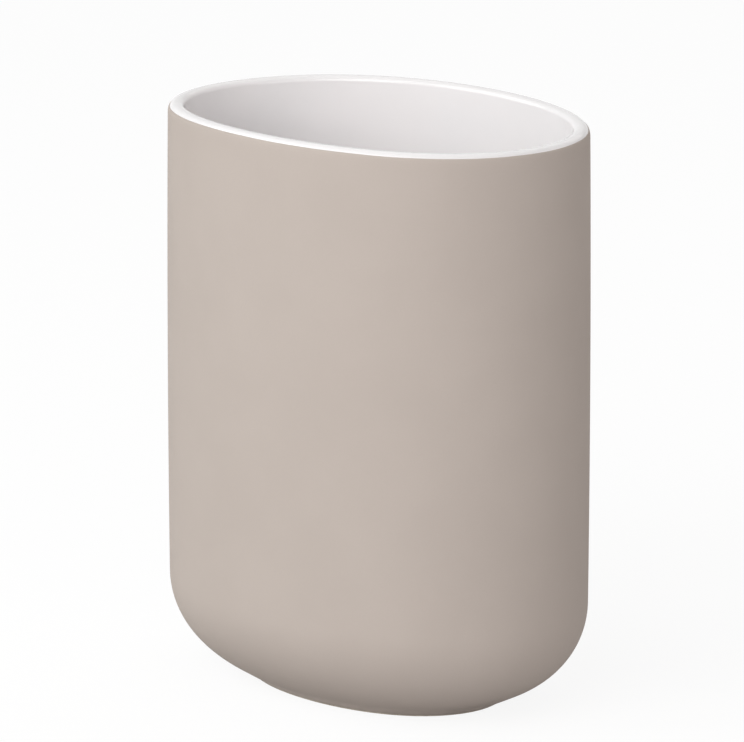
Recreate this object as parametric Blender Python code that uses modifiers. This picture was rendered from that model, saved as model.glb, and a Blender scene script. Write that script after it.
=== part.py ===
"""An upright oval stoneware cup that holds toothbrushes.

It is one ceramic casting with three surface layers: white glaze inside and over the rim, a soft-touch
coating outside, and a patch of glaze in the recess under the foot.

The outside of a section through the cup is one line of (inset, height) points. It starts at the cavity's
floor, climbs the cavity's wall, crosses the rim, comes down outside to the foot and ends in the recess
underneath. The inset is measured inwards from the widest oval of the outer wall, and the height upwards
from what the cup stands on. The material always lies to the left of the line. Lengths are in metres.
"""

import bmesh
import bpy
from math import cos, hypot, pi, radians, sin

# Overall size
HEIGHT = 0.110
BELLY_LENGTH = 0.090
BELLY_DEPTH = 0.065
# How far the oval's four quarters stand out from an ellipse
QUARTER_SHARE = 0.01
# How much further in than the long sides the two ends are drawn, at the foot
END_DRAW_SHARE = 0.21

# Outer wall: how far the rim lies inside the belly, and the long rounding below the wall
BELLY_SWELL = 0.00032
LOWER_EDGE_RISE = 0.018
LOWER_EDGE_SWEEP = radians(66)

# Foot ring
FOOT_TOP = 0.0012
FOOT_INSET = 0.014
FOOT_FILLET = 0.0005
FOOT_EDGE_RADIUS = 0.00035
FOOT_RING_WIDTH = 0.004
BARE_BAND = 0.0001
RECESS_HEIGHT = 0.0013
RECESS_FILLET = 0.0006

# Rim: how far across the wall its top lies, counted from outside, and how far down each side is rounded
RIM_WALL = 0.003
RIM_TOP_SHARE = 0.5
RIM_OUTER_ROUNDING = 0.002
RIM_INNER_ROUNDING = 0.0011
# How far the rim's two ends lie below its long sides
RIM_DIP = 0.0006
# Where the coating starts, as an angle round the rim's outer shoulder from its top
COATING_START = radians(46.5)

# Cavity: how much thicker the wall would be at the floor than at the rim, and the rounding above the floor
WALL_GROWTH = 0.0012
CAVITY_FLOOR = 0.0065
CAVITY_EDGE_INSET = 0.012
CAVITY_EDGE_RISE = 0.0155

# Surface layers, and the clearance between a layer and its neighbours
GLAZE_THICKNESS = 0.0003
COATING_THICKNESS = 0.0003
LAYER_GAP = 0.0003

# Facets
ROUND_STEPS = 44
WALL_STEPS = 5
LOWER_EDGE_STEPS = 8
CAVITY_EDGE_STEPS = 6
CORNER_STEPS = 3
SHARP_ANGLE = radians(40)

# Colours, which are linear, and how rough and how metallic each surface is
STONEWARE = {"colour": (0.60, 0.53, 0.44, 1.0), "roughness": 0.85, "metallic": 0.0}
WHITE_GLAZE = {"colour": (0.86, 0.85, 0.84, 1.0), "roughness": 0.12, "metallic": 0.0}
SOFT_TOUCH = {"colour": (0.55, 0.48, 0.42, 1.0), "roughness": 0.65, "metallic": 0.0}


def oval(inset, height):
    """One ring of points, this far inside the belly. Low down it is level, and at the rim its ends dip."""
    half_length = BELLY_LENGTH / 2 - inset * (1 + END_DRAW_SHARE * inset / FOOT_INSET)
    half_depth = BELLY_DEPTH / 2 - inset
    dip = RIM_DIP * (height / HEIGHT) ** 3
    points = []
    for step in range(ROUND_STEPS):
        turn = 2 * pi * step / ROUND_STEPS
        across = (cos(turn) - QUARTER_SHARE * cos(3 * turn)) / (1 - QUARTER_SHARE)
        along = (sin(turn) + QUARTER_SHARE * sin(3 * turn)) / (1 - QUARTER_SHARE)
        points.append((half_length * across, half_depth * along, height - dip * cos(turn) ** 2))
    return points


def shares(steps):
    """Even shares from 0 to 1, both ends counted."""
    return [step / steps for step in range(steps + 1)]


def corner(centre, radius, start, end):
    """A round corner, between two angles from straight up towards a growing inset."""
    points = []
    for share in shares(CORNER_STEPS):
        angle = start + (end - start) * share
        points.append((centre[0] + radius * sin(angle), centre[1] + radius * cos(angle)))
    return points


def bend(start, meeting, end):
    """A soft corner whose ends point at the place where its two sides would meet."""
    points = []
    for share in shares(CORNER_STEPS):
        rest = 1 - share
        points.append(tuple(rest * rest * a + 2 * rest * share * b + share * share * c
                            for a, b, c in zip(start, meeting, end)))
    return points


def moved(line, distance):
    """The line moved into the material on its left."""
    points = []
    for place, (inset, height) in enumerate(line):
        before = line[max(place - 1, 0)]
        after = line[min(place + 1, len(line) - 1)]
        run = after[0] - before[0]
        climb = after[1] - before[1]
        step = hypot(run, climb)
        points.append((inset - distance * climb / step, height + distance * run / step))
    return points


def wall_inset(height):
    """The outer wall's slight barrel, widest halfway up."""
    from_middle = 2 * height / HEIGHT - 1
    return BELLY_SWELL * from_middle * from_middle


def cavity_inset(height):
    """The cavity's straight wall, which leans in towards the floor."""
    return wall_inset(HEIGHT - RIM_OUTER_ROUNDING) + RIM_WALL + WALL_GROWTH * (1 - height / HEIGHT)


def rim_corner(start, end):
    """Part of the rim's rounding, between two angles from its top, positive on the cavity's side."""
    outer = wall_inset(HEIGHT - RIM_OUTER_ROUNDING)
    inner = cavity_inset(HEIGHT - RIM_INNER_ROUNDING)
    top = outer + (inner - outer) * RIM_TOP_SHARE
    points = []
    for share in shares(CORNER_STEPS):
        angle = start + (end - start) * share
        reach = inner - top if angle > 0 else top - outer
        rounding = RIM_INNER_ROUNDING if angle > 0 else RIM_OUTER_ROUNDING
        points.append((top + reach * sin(angle), HEIGHT - rounding * (1 - cos(angle))))
    return points


def glaze_line():
    """The white glaze's face, from the cavity's floor to just short of the coating."""
    line = []
    for share in shares(CAVITY_EDGE_STEPS):
        height = CAVITY_FLOOR + CAVITY_EDGE_RISE * (1 - cos(share * pi / 2))
        line.append((cavity_inset(height) + CAVITY_EDGE_INSET * (1 - sin(share * pi / 2)), height))
    last = COATING_START - LAYER_GAP / RIM_OUTER_ROUNDING / 2
    return line + rim_corner(pi / 2, 0) + rim_corner(0, -last)[1:]


def coating_line():
    """The coating's face, from the rim's outer shoulder to just above the foot's bottom edge."""
    first = COATING_START + LAYER_GAP / RIM_OUTER_ROUNDING / 2
    line = rim_corner(-first, -pi / 2)
    top = HEIGHT - RIM_OUTER_ROUNDING
    bottom = FOOT_TOP + LOWER_EDGE_RISE
    for share in shares(WALL_STEPS)[1:]:
        height = top + (bottom - top) * share
        line.append((wall_inset(height), height))

    reach = FOOT_INSET - FOOT_FILLET - wall_inset(FOOT_TOP)
    for share in shares(LOWER_EDGE_STEPS)[1:]:
        turn = share * LOWER_EDGE_SWEEP
        height = FOOT_TOP + LOWER_EDGE_RISE * (1 - sin(turn) / sin(LOWER_EDGE_SWEEP))
        drawn_in = reach * (1 - cos(turn)) / (1 - cos(LOWER_EDGE_SWEEP))
        line.append((wall_inset(height) + drawn_in, height))

    slope = (line[-2][1] - line[-1][1]) / (line[-1][0] - line[-2][0])
    meeting = (FOOT_INSET, FOOT_TOP - slope * FOOT_FILLET)
    line += bend(line[-1], meeting, (FOOT_INSET, meeting[1] - FOOT_FILLET))[1:]
    return line + [(FOOT_INSET, FOOT_EDGE_RADIUS + BARE_BAND)]


def base_line():
    """The face of the glaze under the foot, from the ring's inner side to the recess's flat ceiling."""
    centre = (FOOT_INSET + FOOT_RING_WIDTH + RECESS_FILLET, RECESS_HEIGHT - RECESS_FILLET)
    return corner(centre, RECESS_FILLET, -pi / 2, 0)


def foot_line():
    """The bare bottom of the foot ring, between what carries the coating and what carries the glaze."""
    outer = FOOT_INSET + COATING_THICKNESS + LAYER_GAP + FOOT_EDGE_RADIUS
    inner = FOOT_INSET + FOOT_RING_WIDTH - GLAZE_THICKNESS - LAYER_GAP - FOOT_EDGE_RADIUS
    line = corner((outer, FOOT_EDGE_RADIUS), FOOT_EDGE_RADIUS, -pi / 2, -pi)
    return line + corner((inner, FOOT_EDGE_RADIUS), FOOT_EDGE_RADIUS, -pi, -3 * pi / 2)


def body_line():
    """The stoneware's own section, one layer and one clearance behind each face that a layer covers."""
    under_glaze = GLAZE_THICKNESS + LAYER_GAP
    under_coating = COATING_THICKNESS + LAYER_GAP
    return (moved(glaze_line(), under_glaze) + moved(coating_line(), under_coating)
            + foot_line() + moved(base_line(), under_glaze))


def material(name, look):
    """One plain surface with this colour, roughness and metallic value."""
    surface = bpy.data.materials.new(name)
    surface.use_nodes = True
    shader = surface.node_tree.nodes["Principled BSDF"]
    shader.inputs["Base Color"].default_value = look["colour"]
    shader.inputs["Roughness"].default_value = look["roughness"]
    shader.inputs["Metallic"].default_value = look["metallic"]
    surface.diffuse_color = look["colour"]
    return surface


def loft(name, line, look, floor=False, ceiling=False):
    """A surface through a line's ovals. The first can be filled as a floor, and the last as a ceiling."""
    shape = bmesh.new()
    rings = [[shape.verts.new(point) for point in oval(inset, height)] for inset, height in line]
    for ring, following in zip(rings, rings[1:]):
        for this in range(ROUND_STEPS):
            other = (this + 1) % ROUND_STEPS
            shape.faces.new((ring[this], following[this], following[other], ring[other]))
    if floor:
        shape.faces.new(rings[0])
    if ceiling:
        shape.faces.new(reversed(rings[-1]))
    mesh = bpy.data.meshes.new(name)
    shape.to_mesh(mesh)
    shape.free()
    mesh.shade_smooth()
    mesh.set_sharp_from_angle(angle=SHARP_ANGLE)
    mesh.materials.append(material(name, look))
    return bpy.data.objects.new(name, mesh)


def layer(name, line, look, thickness, floor=False, ceiling=False):
    """A thin shell whose outer face is the lofted surface."""
    shell = loft(name, line, look, floor, ceiling)
    solidify = shell.modifiers.new("Thickness", "SOLIDIFY")
    solidify.thickness = thickness
    solidify.offset = -1
    solidify.use_even_offset = True
    return shell


def stoneware_body():
    return loft("stoneware_body", body_line(), STONEWARE, floor=True, ceiling=True)


def inner_glaze():
    return layer("inner_glaze", glaze_line(), WHITE_GLAZE, GLAZE_THICKNESS, floor=True)


def soft_touch_coating():
    return layer("soft_touch_coating", coating_line(), SOFT_TOUCH, COATING_THICKNESS)


def base_glaze():
    return layer("base_glaze", base_line(), WHITE_GLAZE, GLAZE_THICKNESS, ceiling=True)


def main():
    for old in list(bpy.data.objects):
        bpy.data.objects.remove(old)
    holder = bpy.data.collections.new("toothbrush_holder")
    bpy.context.scene.collection.children.link(holder)
    stand = bpy.data.objects.new("standing_point", None)
    holder.objects.link(stand)
    for piece in (stoneware_body(), inner_glaze(), soft_touch_coating(), base_glaze()):
        holder.objects.link(piece)
        piece.parent = stand


main()
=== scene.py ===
"""The looks of an upright oval stoneware cup for toothbrushes.

The ceramic, its white glaze and its soft-touch coating are modelled again here with fine, smooth surfaces,
in the space that the frame's plainer solids hold. As there, a section's outside is a line of (inset, height)
points with the material on its left. The inset is measured inwards from the widest oval of the outer wall.
Lengths are in metres, and colours are linear.
"""

from math import atan, cos, hypot, pi, radians, sin

import bpy
import numpy as np
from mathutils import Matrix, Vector


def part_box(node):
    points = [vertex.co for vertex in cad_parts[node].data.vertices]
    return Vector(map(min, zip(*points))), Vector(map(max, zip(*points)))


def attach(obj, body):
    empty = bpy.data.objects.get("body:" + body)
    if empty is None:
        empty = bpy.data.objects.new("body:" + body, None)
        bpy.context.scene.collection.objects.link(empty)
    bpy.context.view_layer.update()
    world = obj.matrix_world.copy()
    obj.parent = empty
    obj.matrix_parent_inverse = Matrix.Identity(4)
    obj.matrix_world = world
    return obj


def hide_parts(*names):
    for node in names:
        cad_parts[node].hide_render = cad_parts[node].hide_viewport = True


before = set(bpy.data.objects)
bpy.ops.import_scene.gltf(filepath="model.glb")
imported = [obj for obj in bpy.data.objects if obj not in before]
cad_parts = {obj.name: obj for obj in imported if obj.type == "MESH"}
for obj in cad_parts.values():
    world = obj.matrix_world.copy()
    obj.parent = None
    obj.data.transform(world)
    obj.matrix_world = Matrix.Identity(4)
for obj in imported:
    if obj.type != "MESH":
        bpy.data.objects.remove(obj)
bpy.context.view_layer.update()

# The glaze is as thick as the frame's
GLAZE_THICKNESS = 0.0003

# Sizes that come from the frame
COATING_LOW, COATING_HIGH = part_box("soft_touch_coating")
GLAZE_LOW, GLAZE_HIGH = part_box("inner_glaze")
BELLY_LENGTH = COATING_HIGH.x - COATING_LOW.x
BELLY_DEPTH = COATING_HIGH.y - COATING_LOW.y
HEIGHT = GLAZE_HIGH.z
CAVITY_FLOOR = GLAZE_LOW.z + GLAZE_THICKNESS

# How far the oval's four quarters stand out from an ellipse
QUARTER_SHARE = 0.01
# How much further in than the long sides the two ends are drawn, at the foot
END_DRAW_SHARE = 0.21

# The outer wall: how far its barrel swells, and the long rounding below it
BELLY_SWELL = 0.00032
LOWER_EDGE_RISE = 0.018
LOWER_EDGE_SWEEP = radians(66)

# Foot ring. Where the frame has a fillet above it, a wider cove is drawn here
FOOT_TOP = 0.0012
FOOT_INSET = 0.014
FOOT_FILLET = 0.0005
FOOT_COVE = 0.0034
FOOT_EDGE_RADIUS = 0.00025
FOOT_RING_WIDTH = 0.004
RECESS_HEIGHT = 0.0013
RECESS_FILLET = 0.0006

# Rim: how thick the wall is there, how far across it the top lies, counted from outside, how far down each
# side is rounded, and how squarely, where 2 would be an ellipse
RIM_WALL = 0.003
RIM_TOP_SHARE = 0.5
RIM_OUTER_ROUNDING = 0.002
RIM_INNER_ROUNDING = 0.0011
RIM_POWER = 2.3
# How far the rim's two ends lie below its long sides
RIM_DIP = 0.0006

# Cavity: how much thicker the wall would be at the floor than at the rim, and the rounding above the floor
WALL_GROWTH = 0.0012
CAVITY_EDGE_INSET = 0.012
CAVITY_EDGE_RISE = 0.0155

# The coating: how thick a film it is, how far below the rim's top it starts, and over what length it thins
# out at each edge
COATING_FILM = 0.00012
COATING_START_DROP = 0.00068
COATING_EDGE_LENGTH = 0.0002
# Half of how far down its upper edge wanders, and the waves of that: how many go round the cup, their phase
# and their share
COATING_EDGE_WANDER = 0.00004
COATING_EDGE_WAVES = ((3, 0.7, 0.5), (7, 2.1, 0.3), (17, 4.0, 0.2))
# How far the glaze runs on under the coating, and how close two layers lie
GLAZE_SKIRT = 0.002
CONTACT = 0.00001

# Mesh fineness
ROUND_STEPS = 192
WALL_STEPS = 24
LOWER_EDGE_STEPS = 32
CAVITY_EDGE_STEPS = 28
RIM_STEPS = 48
CORNER_STEPS = 8
# How far out the rings on the cavity's floor and on the recess's ceiling lie
FLOOR_RING_SHARES = (0.85, 0.65, 0.45, 0.25, 0.1)

# The coating's two tones, its grain, and a paler, rubbed-looking tone painted low down near the foot as
# painted light
TAUPE = (0.526, 0.458, 0.414)
PALE_TAUPE = (0.540, 0.471, 0.426)
GRAIN_TAUPE = (0.48, 0.415, 0.372)
PAINTED_LIGHT_TAUPE = (0.74, 0.655, 0.60)
# The painted light is strongest below the first height, and gone above the second
PAINTED_LIGHT_LOW = 0.0009
PAINTED_LIGHT_HIGH = 0.0027
COATING_SHEEN = 0.08
COATING_GRAIN_DEPTH = 0.000012
COATING_WAVE_DEPTH = 0.00002

# The glaze's two tones, and its pinholes with how much of their colour shows
GLAZE_WHITE = (0.900, 0.872, 0.872)
COOL_WHITE = (0.888, 0.865, 0.867)
PINHOLE_BROWN = (0.45, 0.42, 0.38)
PINHOLE_SHARE = 0.45
PEEL_DEPTH = 0.00003
PINHOLE_DEPTH = 0.00005

# The bare clay's two tones, and the grog in it with how much of its colour shows
BUFF = (0.56, 0.49, 0.40)
PALE_BUFF = (0.66, 0.59, 0.50)
GROG_BROWN = (0.34, 0.26, 0.19)
GROG_SHARE = 0.5
CLAY_DEPTH = 0.00005
GROG_DEPTH = 0.00002

# The photograph's frame, where the middle of the cup falls in it, and the scale there, in pixels
PHOTO_WIDTH_PX = 744
PHOTO_HEIGHT_PX = 742
MIDDLE_ACROSS_PX = 377.2
MIDDLE_DOWN_PX = 398.9
PX_PER_METRE = 5330
CAMERA_AZIMUTH = radians(46.85)
CAMERA_ELEVATION = radians(13.29)
CAMERA_DISTANCE = 1.35
# Nothing nearer to the camera than this is drawn
CAMERA_CLIP_START = 0.01

# Soft lamps: name, azimuth counted from the camera's and elevation in degrees, width, height, power in watts
# and colour
LAMPS = (
    ("side", -100, 25, 1.4, 1.4, 8.7, (0.96, 1.0, 1.0)),
    ("left", -60, 35, 1.6, 1.2, 4.6, (0.98, 1.0, 1.0)),
    ("key", -30, 30, 1.6, 1.2, 13.2, (1.0, 1.0, 1.0)),
    ("low", 30, 10, 1.8, 0.5, 5.6, (1.0, 0.97, 0.96)),
    ("right", 100, 20, 1.2, 0.8, 1.9, (1.0, 0.95, 0.92)),
    ("back", 150, 50, 2.0, 2.0, 5.4, (1.0, 0.98, 0.96)),
)
LAMP_DISTANCE = 1.6
WORLD_LEVEL = 0.2

# The floor lies this far below the foot ring, so that the two faces don't coincide
FLOOR_DROP = 0.00002
FLOOR_HALF_WIDTH = 4.0
# Its tone and roughness, and what the camera sees instead: a darker tone that keeps the shadow, and a glow up
# to almost white
FLOOR_TONE = 0.62
FLOOR_ROUGHNESS = 0.9
FLOOR_SEEN_TONE = 0.13
FLOOR_GLOW = 0.89


def shares(steps):
    """Even shares from 0 to 1, both ends counted."""
    return [step / steps for step in range(steps + 1)]


def oval(inset, height):
    """One ring of points, this far inside the belly. Low down it is level, and at the rim its ends dip."""
    turn = np.linspace(0, 2 * pi, ROUND_STEPS, endpoint=False)
    across = (np.cos(turn) - QUARTER_SHARE * np.cos(3 * turn)) / (1 - QUARTER_SHARE)
    along = (np.sin(turn) + QUARTER_SHARE * np.sin(3 * turn)) / (1 - QUARTER_SHARE)
    ring = np.empty((ROUND_STEPS, 3))
    ring[:, 0] = (BELLY_LENGTH / 2 - inset * (1 + END_DRAW_SHARE * inset / FOOT_INSET)) * across
    ring[:, 1] = (BELLY_DEPTH / 2 - inset) * along
    ring[:, 2] = height - RIM_DIP * (height / HEIGHT) ** 3 * np.cos(turn) ** 2
    return ring


def corner(centre, radius, start, end):
    """A round corner, between two angles from straight up towards a growing inset."""
    angles = [start + (end - start) * share for share in shares(CORNER_STEPS)]
    return [(centre[0] + radius * sin(angle), centre[1] + radius * cos(angle)) for angle in angles]


def bend(start, meeting, end):
    """A soft corner whose ends point at the place where its two sides would meet."""
    points = []
    for share in shares(CORNER_STEPS):
        rest = 1 - share
        points.append(tuple(rest * rest * a + 2 * rest * share * b + share * share * c
                            for a, b, c in zip(start, meeting, end)))
    return points


def moved(line, distances):
    """The line moved into the material on its left, by one distance or by one for each point."""
    if not isinstance(distances, list):
        distances = [distances] * len(line)
    points = []
    for place, ((inset, height), distance) in enumerate(zip(line, distances)):
        before = line[max(place - 1, 0)]
        after = line[min(place + 1, len(line) - 1)]
        run = after[0] - before[0]
        climb = after[1] - before[1]
        step = hypot(run, climb)
        points.append((inset - distance * climb / step, height + distance * run / step))
    return points


def lengths_along(line):
    """How far along the line each of its points lies."""
    lengths = [0.0]
    for start, end in zip(line, line[1:]):
        lengths.append(lengths[-1] + hypot(end[0] - start[0], end[1] - start[1]))
    return lengths


def wall_inset(height):
    """The outer wall's slight barrel, widest halfway up."""
    from_middle = 2 * height / HEIGHT - 1
    return BELLY_SWELL * from_middle * from_middle


def cavity_inset(height):
    """The cavity's straight wall, which leans in towards the floor."""
    return wall_inset(HEIGHT - RIM_OUTER_ROUNDING) + RIM_WALL + WALL_GROWTH * (1 - height / HEIGHT)


def cavity_line():
    """The glaze's face from the cavity's flat floor up to the rim's rounding."""
    line = []
    for share in shares(CAVITY_EDGE_STEPS):
        height = CAVITY_FLOOR + CAVITY_EDGE_RISE * (1 - cos(share * pi / 2))
        line.append((cavity_inset(height) + CAVITY_EDGE_INSET * (1 - sin(share * pi / 2)), height))
    low = CAVITY_FLOOR + CAVITY_EDGE_RISE
    high = HEIGHT - RIM_INNER_ROUNDING
    for share in shares(WALL_STEPS)[1:-1]:
        height = low + (high - low) * share
        line.append((cavity_inset(height), height))
    return line


def rim_line():
    """The rounded rim, from the cavity side to the outer side, one film behind the coating's face."""
    inner = cavity_inset(HEIGHT - RIM_INNER_ROUNDING)
    outer = wall_inset(HEIGHT - RIM_OUTER_ROUNDING) + COATING_FILM
    top = outer + (inner - outer) * RIM_TOP_SHARE
    line = []
    for share in shares(RIM_STEPS):
        angle = share * pi
        reach = abs(cos(angle)) ** (2 / RIM_POWER)
        fall = 1 - abs(sin(angle)) ** (2 / RIM_POWER)
        if angle < pi / 2:
            line.append((top + (inner - top) * reach, HEIGHT - RIM_INNER_ROUNDING * fall))
        else:
            line.append((top - (top - outer) * reach, HEIGHT - RIM_OUTER_ROUNDING * fall))
    return line


def wall_line():
    """The ceramic's outer face from under the rim to the foot's bottom edge, one film behind the coating."""
    top = HEIGHT - RIM_OUTER_ROUNDING
    bottom = FOOT_TOP + LOWER_EDGE_RISE
    line = []
    for share in shares(WALL_STEPS)[1:]:
        height = top + (bottom - top) * share
        line.append((wall_inset(height), height))
    reach = FOOT_INSET - FOOT_FILLET - wall_inset(FOOT_TOP)
    for share in shares(LOWER_EDGE_STEPS)[1:]:
        turn = share * LOWER_EDGE_SWEEP
        height = FOOT_TOP + LOWER_EDGE_RISE * (1 - sin(turn) / sin(LOWER_EDGE_SWEEP))
        drawn_in = reach * (1 - cos(turn)) / (1 - cos(LOWER_EDGE_SWEEP))
        line.append((wall_inset(height) + drawn_in, height))
    line = [point for point in line if point[0] < FOOT_INSET - FOOT_COVE]
    slope = (line[-2][1] - line[-1][1]) / (line[-1][0] - line[-2][0])
    meeting = (FOOT_INSET, line[-1][1] - slope * (FOOT_INSET - line[-1][0]))
    line += bend(line[-1], meeting, (FOOT_INSET, FOOT_EDGE_RADIUS))[1:]
    return moved(line, COATING_FILM)


def glaze_line():
    """The white glaze's face, on down the outer wall as far as its skirt under the coating."""
    end = HEIGHT - RIM_OUTER_ROUNDING - GLAZE_SKIRT
    skirt = [point for point in wall_line() if point[1] > end]
    return cavity_line() + rim_line() + skirt + [(wall_inset(end) + COATING_FILM, end)]


def coating_back():
    """The coating's face against the ceramic, from its upper edge down to the foot."""
    start = HEIGHT - COATING_START_DROP
    outer_half = rim_line()[RIM_STEPS // 2:]
    below = [point for point in outer_half if point[1] < start]
    above = outer_half[len(outer_half) - len(below) - 1]
    part = (above[1] - start) / (above[1] - below[0][1])
    edge = (above[0] + (below[0][0] - above[0]) * part, start)
    return [edge] + below + wall_line()


def coating_section():
    """A closed section through the coating, which thins out towards both of its edges."""
    back = coating_back()
    lengths = lengths_along(back)
    films = []
    for length in lengths:
        from_edge = min(length, lengths[-1] - length)
        share = min(1.0, from_edge / COATING_EDGE_LENGTH)
        films.append(-COATING_FILM * share * (2 - share))
    return moved(back, films) + list(reversed(back))[1:-1]


def base_line():
    """The face of the glaze under the foot, from the ring's inner side to the recess's flat ceiling."""
    centre = (FOOT_INSET + FOOT_RING_WIDTH + RECESS_FILLET, RECESS_HEIGHT - RECESS_FILLET)
    return corner(centre, RECESS_FILLET, -pi / 2, 0)


def foot_line():
    """The bare bottom of the foot ring."""
    outer = FOOT_INSET + COATING_FILM + CONTACT + FOOT_EDGE_RADIUS
    inner = FOOT_INSET + FOOT_RING_WIDTH - CONTACT - FOOT_EDGE_RADIUS
    line = corner((outer, FOOT_EDGE_RADIUS), FOOT_EDGE_RADIUS, -pi / 2, -pi)
    return line + corner((inner, FOOT_EDGE_RADIUS), FOOT_EDGE_RADIUS, -pi, -3 * pi / 2)


def body_line():
    """The stoneware's own section, just behind the layers that cover it."""
    glaze = glaze_line()
    skirt_end = glaze[-1][1] - CONTACT
    behind_coating = [point for point in moved(wall_line(), CONTACT) if point[1] < skirt_end]
    behind_glaze = moved(glaze, GLAZE_THICKNESS + CONTACT)
    behind_patch = moved(base_line(), GLAZE_THICKNESS + CONTACT)
    return behind_glaze + behind_coating + foot_line() + behind_patch


def shrunk(ring, share):
    """The ring drawn in towards the middle, at its own height."""
    return ring * np.array([share, share, 1.0])


def loft(name, line, closed=False, floor=False, ceiling=False):
    """A smooth surface through the ovals of a line. A closed line gives a tube round the cup."""
    rings = [oval(inset, height) for inset, height in line]
    if floor:
        rings = [shrunk(rings[0], share) for share in reversed(FLOOR_RING_SHARES)] + rings
    if ceiling:
        rings = rings + [shrunk(rings[-1], share) for share in FLOOR_RING_SHARES]
    pairs = list(zip(range(len(rings)), range(1, len(rings))))
    if closed:
        pairs.append((len(rings) - 1, 0))
    faces = []
    for ring, following in pairs:
        for this in range(ROUND_STEPS):
            other = (this + 1) % ROUND_STEPS
            faces.append((ring * ROUND_STEPS + this, following * ROUND_STEPS + this,
                          following * ROUND_STEPS + other, ring * ROUND_STEPS + other))
    if floor:
        faces.append(tuple(range(ROUND_STEPS)))
    if ceiling:
        faces.append(tuple(reversed(range((len(rings) - 1) * ROUND_STEPS, len(rings) * ROUND_STEPS))))
    mesh = bpy.data.meshes.new(name)
    mesh.from_pydata(np.concatenate(rings).tolist(), [], faces)
    mesh.update()
    mesh.shade_smooth()
    piece = bpy.data.objects.new(name, mesh)
    bpy.context.scene.collection.objects.link(piece)
    return piece


def thickened(piece):
    """Gives a glazed face the thickness of its glaze, inwards."""
    solidify = piece.modifiers.new("Thickness", "SOLIDIFY")
    solidify.thickness = GLAZE_THICKNESS
    solidify.offset = -1
    solidify.use_even_offset = True
    return piece


def wandered(piece, section):
    """Lets the coating's upper edge wander a little downwards, as a hand-masked edge does."""
    mesh = piece.data
    points = np.empty(len(mesh.vertices) * 3)
    mesh.vertices.foreach_get("co", points)
    points = points.reshape(-1, 3)
    turn = np.arctan2(points[:, 1], points[:, 0])
    wave = sum(share * np.sin(count * turn + phase) for count, phase, share in COATING_EDGE_WAVES)
    heights = np.repeat([height for inset, height in section], ROUND_STEPS)
    near = np.clip(1 - (heights.max() - heights) / COATING_EDGE_LENGTH, 0, 1)
    points[:, 2] += COATING_EDGE_WANDER * (wave - 1) * near
    mesh.vertices.foreach_set("co", points.ravel())
    mesh.update()
    return piece


class Recipe:
    """A material under construction, with short calls for the nodes that the finishes share."""

    def __init__(self, name):
        self.material = bpy.data.materials.new(name)
        self.material.use_nodes = True
        self.nodes = self.material.node_tree.nodes
        self.links = self.material.node_tree.links
        self.shader = self.nodes["Principled BSDF"]
        self.place = self.nodes.new("ShaderNodeTexCoord").outputs["Object"]

    def noise(self, scale, detail, roughness=0.5):
        """Noise with this many waves to a metre, and finer ones in them."""
        node = self.nodes.new("ShaderNodeTexNoise")
        node.inputs["Scale"].default_value = scale
        node.inputs["Detail"].default_value = detail
        node.inputs["Roughness"].default_value = roughness
        self.links.new(self.place, node.inputs["Vector"])
        return node.outputs["Fac"]

    def patches(self, scale, detail, lowest=0.0, highest=1.0):
        """Soft patches of noise, with values between a lowest and a highest one."""
        return self.ramp(self.noise(scale, detail), low=0.3, high=0.7, at_low=lowest, at_high=highest)

    def specks(self, scale, radius, softness):
        """Round specks, 1 inside and 0 outside. Radius and softness are shares of the room that each has."""
        node = self.nodes.new("ShaderNodeTexVoronoi")
        node.inputs["Scale"].default_value = scale
        self.links.new(self.place, node.inputs["Vector"])
        distance = node.outputs["Distance"]
        return self.ramp(distance, low=radius, high=radius + softness, at_low=1.0, at_high=0.0)

    def ramp(self, value, low, high, at_low, at_high):
        """Runs smoothly from at_low to at_high while the value goes from low to high."""
        node = self.nodes.new("ShaderNodeMapRange")
        node.interpolation_type = "SMOOTHSTEP"
        for name, number in (("From Min", low), ("From Max", high), ("To Min", at_low), ("To Max", at_high)):
            node.inputs[name].default_value = number
        self.links.new(value, node.inputs["Value"])
        return node.outputs["Result"]

    def math(self, operation, first, second):
        """One step of arithmetic on two values, each a number or another node's value."""
        node = self.nodes.new("ShaderNodeMath")
        node.operation = operation
        for socket, value in zip(node.inputs, (first, second)):
            if isinstance(value, float):
                socket.default_value = value
            else:
                self.links.new(value, socket)
        return node.outputs["Value"]

    def mix(self, factor, first, second):
        """A colour between two colours, each a tuple or another node's colour."""
        node = self.nodes.new("ShaderNodeMix")
        node.data_type = "RGBA"
        # The node has sockets of one name for every type of value, and these are the ones for colours
        factor_socket, first_socket, second_socket = node.inputs[0], node.inputs[6], node.inputs[7]
        colour_socket = node.outputs[2]
        self.links.new(factor, factor_socket)
        for socket, value in ((first_socket, first), (second_socket, second)):
            if isinstance(value, tuple):
                socket.default_value = (*value, 1.0)
            else:
                self.links.new(value, socket)
        return colour_socket

    def height(self):
        """The height above the floor."""
        node = self.nodes.new("ShaderNodeSeparateXYZ")
        self.links.new(self.place, node.inputs["Vector"])
        return node.outputs["Z"]

    def bump(self, value, distance, strength=1.0, below=None):
        """Relief of this depth, on top of other relief where there is some below it."""
        node = self.nodes.new("ShaderNodeBump")
        node.inputs["Distance"].default_value = distance
        node.inputs["Strength"].default_value = strength
        self.links.new(value, node.inputs["Height"])
        if below is not None:
            self.links.new(below, node.inputs["Normal"])
        return node.outputs["Normal"]

    def set(self, name, value):
        """Gives the shader a number, or another node's value."""
        socket = self.shader.inputs[name]
        if isinstance(value, float):
            socket.default_value = value
        else:
            self.links.new(value, socket)


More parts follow.
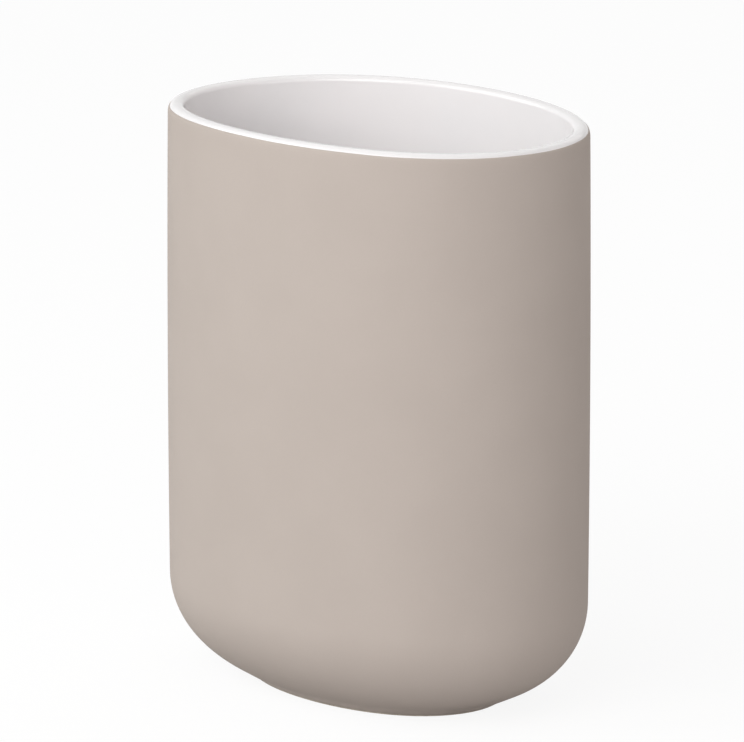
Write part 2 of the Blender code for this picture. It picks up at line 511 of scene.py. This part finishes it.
def soft_touch_material():
    """A matt taupe lacquer with a fine grain, painted paler low down near the foot as painted light for the
    foot's shaded face.
    """
    recipe = Recipe("soft_touch")
    colour = recipe.mix(recipe.patches(scale=60, detail=3.0), TAUPE, PALE_TAUPE)
    grain = recipe.noise(scale=3200, detail=2.0, roughness=0.6)
    dark_grains = recipe.ramp(grain, low=0.35, high=0.65, at_low=0.0, at_high=0.10)
    colour = recipe.mix(dark_grains, colour, GRAIN_TAUPE)
    # Painted light: a paler tone low down near the foot, of uneven strength, brightens the foot's shaded face
    low_down = recipe.ramp(recipe.height(), low=PAINTED_LIGHT_LOW, high=PAINTED_LIGHT_HIGH, at_low=1.0, at_high=0.0)
    uneven = recipe.ramp(recipe.noise(scale=420, detail=3.0), low=0.35, high=0.65, at_low=0.6, at_high=0.85)
    colour = recipe.mix(recipe.math("MULTIPLY", low_down, uneven), colour, PAINTED_LIGHT_TAUPE)
    recipe.set("Base Color", colour)
    recipe.set("Roughness", recipe.patches(scale=90, detail=3.0, lowest=0.78, highest=0.86))
    recipe.set("Specular IOR Level", COATING_SHEEN)
    soft = recipe.bump(recipe.noise(scale=220, detail=2.0), COATING_WAVE_DEPTH)
    recipe.set("Normal", recipe.bump(grain, COATING_GRAIN_DEPTH, strength=0.8, below=soft))
    return recipe.material


def white_glaze_material():
    """A glossy white glaze, with a faint orange peel, a few pinholes and soft patches of a cooler tone."""
    recipe = Recipe("white_glaze")
    colour = recipe.mix(recipe.patches(scale=70, detail=2.0), GLAZE_WHITE, COOL_WHITE)
    pinholes = recipe.specks(scale=260, radius=0.03, softness=0.03)
    few = recipe.ramp(recipe.noise(scale=120, detail=0.0), low=0.66, high=0.70, at_low=0.0, at_high=1.0)
    pinholes = recipe.math("MULTIPLY", pinholes, few)
    colour = recipe.mix(recipe.math("MULTIPLY", pinholes, PINHOLE_SHARE), colour, PINHOLE_BROWN)
    recipe.set("Base Color", colour)
    recipe.set("Roughness", recipe.patches(scale=140, detail=2.0, lowest=0.09, highest=0.16))
    peel = recipe.bump(recipe.noise(scale=260, detail=1.0), PEEL_DEPTH)
    between_pinholes = recipe.math("SUBTRACT", 1.0, pinholes)
    recipe.set("Normal", recipe.bump(between_pinholes, PINHOLE_DEPTH, strength=0.6, below=peel))
    return recipe.material


def stoneware_material():
    """Bare fired clay: a dry, buff surface with fine grog in it."""
    recipe = Recipe("stoneware")
    colour = recipe.mix(recipe.patches(scale=180, detail=4.0), BUFF, PALE_BUFF)
    grog = recipe.specks(scale=1400, radius=0.16, softness=0.10)
    colour = recipe.mix(recipe.math("MULTIPLY", grog, GROG_SHARE), colour, GROG_BROWN)
    recipe.set("Base Color", colour)
    recipe.set("Roughness", recipe.patches(scale=900, detail=3.0, lowest=0.78, highest=0.92))
    coarse = recipe.bump(recipe.noise(scale=900, detail=4.0, roughness=0.6), CLAY_DEPTH)
    recipe.set("Normal", recipe.bump(grog, GROG_DEPTH, strength=0.5, below=coarse))
    return recipe.material


def dressed(piece, material, slot, *nodes):
    """Gives a piece its finish, hangs it on the cup's body and hides the frame's solids that it takes the
    place of.
    """
    piece.data.materials.append(material)
    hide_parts(*nodes)
    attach(piece, "root")


def make_pieces():
    """The four pieces, each in the place of one of the frame's solids."""
    glaze = white_glaze_material()
    dressed(loft("ceramic_body", body_line(), floor=True, ceiling=True),
            stoneware_material(), "stoneware", "stoneware_body")
    dressed(thickened(loft("glaze_liner", glaze_line(), floor=True)),
            glaze, "white_glaze", "inner_glaze")
    section = coating_section()
    dressed(wandered(loft("coating", section, closed=True), section),
            soft_touch_material(), "soft_touch", "soft_touch_coating")
    dressed(thickened(loft("recess_glaze", base_line(), ceiling=True)),
            glaze, "white_glaze", "base_glaze")


def direction(azimuth, elevation):
    """From the cup towards a place round it. Azimuth 0 is in front, on the -Y side, and 90 on the +X side."""
    return Vector((sin(azimuth) * cos(elevation), -cos(azimuth) * cos(elevation), sin(elevation)))


def make_camera():
    """The camera, turned a little aside so that the cup falls where the photograph has it."""
    middle = Vector((0, 0, HEIGHT / 2))
    back = direction(CAMERA_AZIMUTH, CAMERA_ELEVATION)
    right = Vector((cos(CAMERA_AZIMUTH), sin(CAMERA_AZIMUTH), 0))
    up = back.cross(right)
    place = middle + back * CAMERA_DISTANCE
    aside = (PHOTO_WIDTH_PX / 2 - MIDDLE_ACROSS_PX) / PX_PER_METRE
    above = (MIDDLE_DOWN_PX - PHOTO_HEIGHT_PX / 2) / PX_PER_METRE
    target = middle + right * aside + up * above
    camera = bpy.data.cameras.new("camera")
    camera.sensor_fit = "HORIZONTAL"
    camera.angle = 2 * atan(PHOTO_WIDTH_PX / 2 / (PX_PER_METRE * CAMERA_DISTANCE))
    camera.clip_start = CAMERA_CLIP_START
    viewer = bpy.data.objects.new("camera", camera)
    bpy.context.scene.collection.objects.link(viewer)
    viewer.location = place
    viewer.rotation_euler = (target - place).to_track_quat("-Z", "Y").to_euler()
    bpy.context.scene.camera = viewer


def make_lamps():
    """The soft lamps, all turned towards the middle of the cup."""
    middle = Vector((0, 0, HEIGHT / 2))
    for name, azimuth, elevation, width, height, power, colour in LAMPS:
        lamp = bpy.data.lights.new(name, "AREA")
        lamp.shape = "ELLIPSE"
        lamp.size = width
        lamp.size_y = height
        lamp.energy = power
        lamp.color = colour
        holder = bpy.data.objects.new(name, lamp)
        bpy.context.scene.collection.objects.link(holder)
        away = direction(CAMERA_AZIMUTH + radians(azimuth), radians(elevation))
        holder.location = middle + away * LAMP_DISTANCE
        holder.rotation_euler = (middle - holder.location).to_track_quat("-Z", "Y").to_euler()
        holder.visible_camera = False


def grey(tone):
    """A neutral colour for a socket."""
    return (tone, tone, tone, 1.0)


def shown_to_camera(tree, lighting, seen, output):
    """Shows one shader to the camera, and in gloss and glass. All other light meets the lighting shader."""
    path = tree.nodes.new("ShaderNodeLightPath")
    total = path.outputs["Is Camera Ray"]
    for name in ("Is Glossy Ray", "Is Transmission Ray"):
        most = tree.nodes.new("ShaderNodeMath")
        most.operation = "MAXIMUM"
        tree.links.new(total, most.inputs[0])
        tree.links.new(path.outputs[name], most.inputs[1])
        total = most.outputs["Value"]
    mix = tree.nodes.new("ShaderNodeMixShader")
    tree.links.new(total, mix.inputs["Fac"])
    tree.links.new(lighting, mix.inputs[1])
    tree.links.new(seen, mix.inputs[2])
    tree.links.new(mix.outputs["Shader"], output)


def make_world():
    """A dim, even light from all round, and a white background."""
    world = bpy.data.worlds.new("studio")
    world.use_nodes = True
    tree = world.node_tree
    light = tree.nodes["Background"]
    light.inputs["Color"].default_value = grey(1.0)
    light.inputs["Strength"].default_value = WORLD_LEVEL
    white = tree.nodes.new("ShaderNodeBackground")
    white.inputs["Color"].default_value = grey(1.0)
    white.inputs["Strength"].default_value = 1.0
    shown_to_camera(tree, light.outputs["Background"], white.outputs["Background"],
                    tree.nodes["World Output"].inputs["Surface"])
    bpy.context.scene.world = world


def floor_material():
    """A plain pale floor. The camera sees it almost white, and the cup's shadow on it."""
    material = bpy.data.materials.new("floor")
    material.use_nodes = True
    tree = material.node_tree
    plain = tree.nodes["Principled BSDF"]
    plain.inputs["Base Color"].default_value = grey(FLOOR_TONE)
    plain.inputs["Roughness"].default_value = FLOOR_ROUGHNESS
    plain.inputs["Specular IOR Level"].default_value = 0.0
    shadowed = tree.nodes.new("ShaderNodeBsdfDiffuse")
    shadowed.inputs["Color"].default_value = grey(FLOOR_SEEN_TONE)
    glow = tree.nodes.new("ShaderNodeEmission")
    glow.inputs["Strength"].default_value = FLOOR_GLOW
    seen = tree.nodes.new("ShaderNodeAddShader")
    tree.links.new(shadowed.outputs["BSDF"], seen.inputs[0])
    tree.links.new(glow.outputs["Emission"], seen.inputs[1])
    shown_to_camera(tree, plain.outputs["BSDF"], seen.outputs["Shader"],
                    tree.nodes["Material Output"].inputs["Surface"])
    return material


def make_floor():
    """The level surface that the cup stands on."""
    mesh = bpy.data.meshes.new("floor")
    half = FLOOR_HALF_WIDTH
    corners = [(-half, -half, 0), (half, -half, 0), (half, half, 0), (-half, half, 0)]
    mesh.from_pydata(corners, [], [(0, 1, 2, 3)])
    mesh.materials.append(floor_material())
    floor = bpy.data.objects.new("floor", mesh)
    bpy.context.scene.collection.objects.link(floor)
    floor.location.z = -FLOOR_DROP


make_camera()
make_pieces()
make_lamps()
make_world()
make_floor()
bpy.context.scene.view_settings.view_transform = "Standard"
